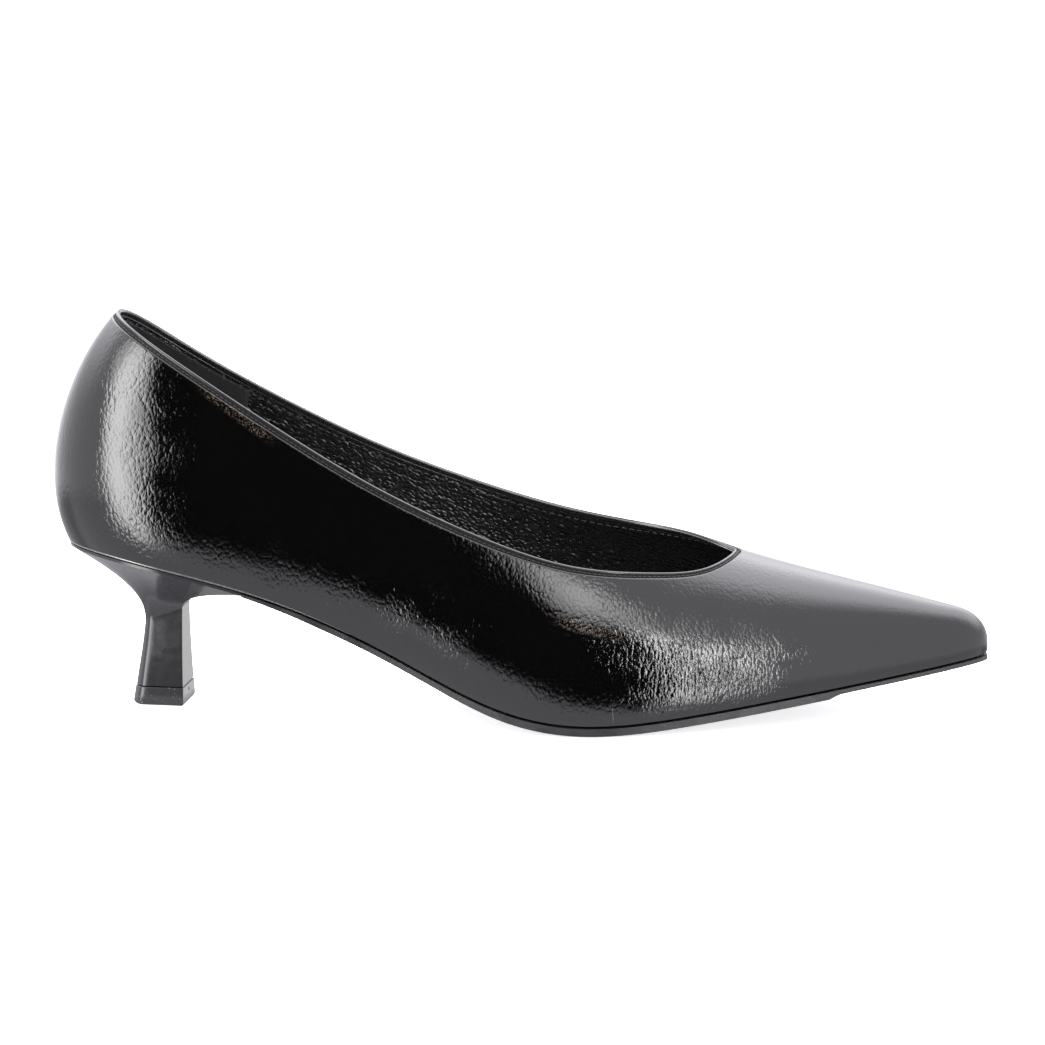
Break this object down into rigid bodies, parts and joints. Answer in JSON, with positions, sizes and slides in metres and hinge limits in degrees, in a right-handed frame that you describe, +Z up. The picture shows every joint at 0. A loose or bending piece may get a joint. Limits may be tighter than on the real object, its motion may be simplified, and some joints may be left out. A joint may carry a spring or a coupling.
{
  "type": "kitten heel pump",
  "caption": "Pointed-toe pump with a low flared heel: a lasted hollow upper with a bound topline on a thin sole, for the right foot.",
  "frame": {"origin": "on the floor, under the middle of the shoe's box", "axes": "+X from heel to toe, +Z up, the outer side of the foot at -Y"},
  "size_m": [0.2675, 0.0742, 0.114],
  "materials": {
    "upper_leather": "black crinkled leather with a high gloss coat",
    "binding_leather": "black smooth leather, half gloss",
    "sock_lining": "black fine-grained lining leather, matte",
    "sole": "black synthetic sole, satin",
    "heel_lacquer": "black gloss lacquer",
    "top_piece": "black wearing block, satin"
  },
  "bodies": {
    "root": {"upper": "upper_leather", "topline_binding": "binding_leather", "insole": "sock_lining", "outsole": "sole", "heel": "heel_lacquer", "heel_top_piece": "top_piece"}
  },
  "joints": []
}
